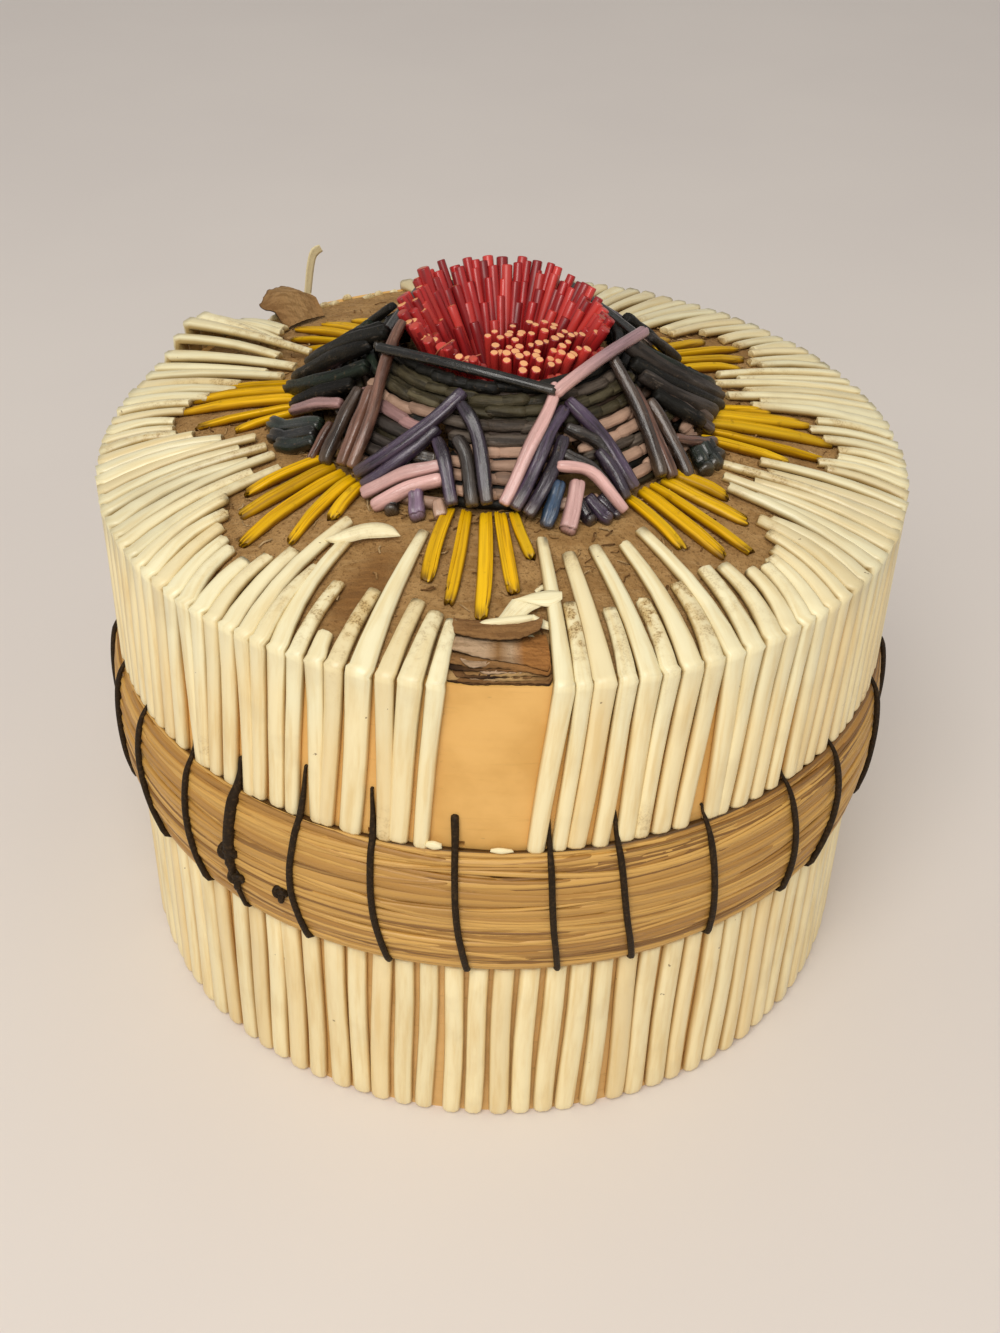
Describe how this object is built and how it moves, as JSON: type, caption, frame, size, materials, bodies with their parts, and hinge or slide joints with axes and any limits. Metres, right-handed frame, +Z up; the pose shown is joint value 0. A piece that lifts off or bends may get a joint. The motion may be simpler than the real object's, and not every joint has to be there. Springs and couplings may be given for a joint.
{
  "type": "quill box",
  "caption": "Round birchbark box sheathed in porcupine quills, with a lift-off lid, a sweetgrass band and a raised woven quill flower round a red tuft.",
  "frame": {"origin": "middle of the box's underside, on the surface that it stands on", "axes": "+Z up through the lid; -Y towards the front of the box in the picture"},
  "size_m": [0.0921, 0.0921, 0.0809],
  "materials": {
    "birchbark": "dry fibrous bark",
    "white_quill": "satin horn, cream with tan ends",
    "yellow_quill": "satin horn, dyed yellow",
    "violet_quill": "satin horn, dyed violet",
    "grey_violet_quill": "satin horn, faded violet",
    "pink_quill": "satin horn, dyed pink",
    "pink_tan_quill": "satin horn, faded pink",
    "brown_quill": "satin horn, dyed brown",
    "black_green_quill": "satin horn, dyed black green",
    "olive_quill": "satin horn, dyed olive",
    "red_quill": "satin horn, dyed red",
    "sweetgrass": "dry grass",
    "black_thread": "waxed thread"
  },
  "bodies": {
    "base": {"base_floor": "birchbark", "base_wall": "birchbark", "base_lining": "birchbark", "base_quills": "white_quill"},
    "lid": {"lid_wall": "birchbark", "lid_lining": "birchbark", "lid_top": "birchbark", "lid_top_lining": "birchbark", "lid_quills": "white_quill", "yellow_fan_1": "yellow_quill", "yellow_fan_2": "yellow_quill", "yellow_fan_3": "yellow_quill", "yellow_fan_4": "yellow_quill", "yellow_fan_5": "yellow_quill", "yellow_fan_6": "yellow_quill", "yellow_fan_7": "yellow_quill", "yellow_fan_8": "yellow_quill", "sweetgrass_band": "sweetgrass", "band_stitches": "black_thread", "thread_knots": "black_thread", "weave_rows_1": "grey_violet_quill", "weave_rows_2": "pink_tan_quill", "weave_rows_3": "olive_quill", "weave_rows_4": "olive_quill", "weave_rows_5": "olive_quill", "weave_rows_6": "olive_quill", "weave_rows_7": "olive_quill", "weave_rows_8": "grey_violet_quill", "petal_legs_1": "violet_quill", "petal_legs_2": "brown_quill", "petal_legs_3": "black_green_quill", "petal_legs_4": "violet_quill", "petal_legs_5": "violet_quill", "petal_legs_6": "black_green_quill", "petal_legs_7": "brown_quill", "petal_legs_8": "violet_quill", "petal_fill_1": "pink_quill", "petal_fill_2": "black_green_quill", "petal_fill_3": "brown_quill", "petal_fill_4": "pink_quill", "petal_fill_5": "pink_quill", "petal_fill_6": "brown_quill", "petal_fill_7": "black_green_quill", "petal_fill_8": "pink_quill", "red_tuft": "red_quill", "tuft_collar": "black_green_quill", "tuft_collar_pink": "pink_quill", "broken_quills": "white_quill"}
  },
  "joints": [
    {"name": "lid_lift", "type": "slide", "parent": "base", "child": "lid", "axis": [0, 0, 1], "range_m": [0, 0.04]}
  ]
}
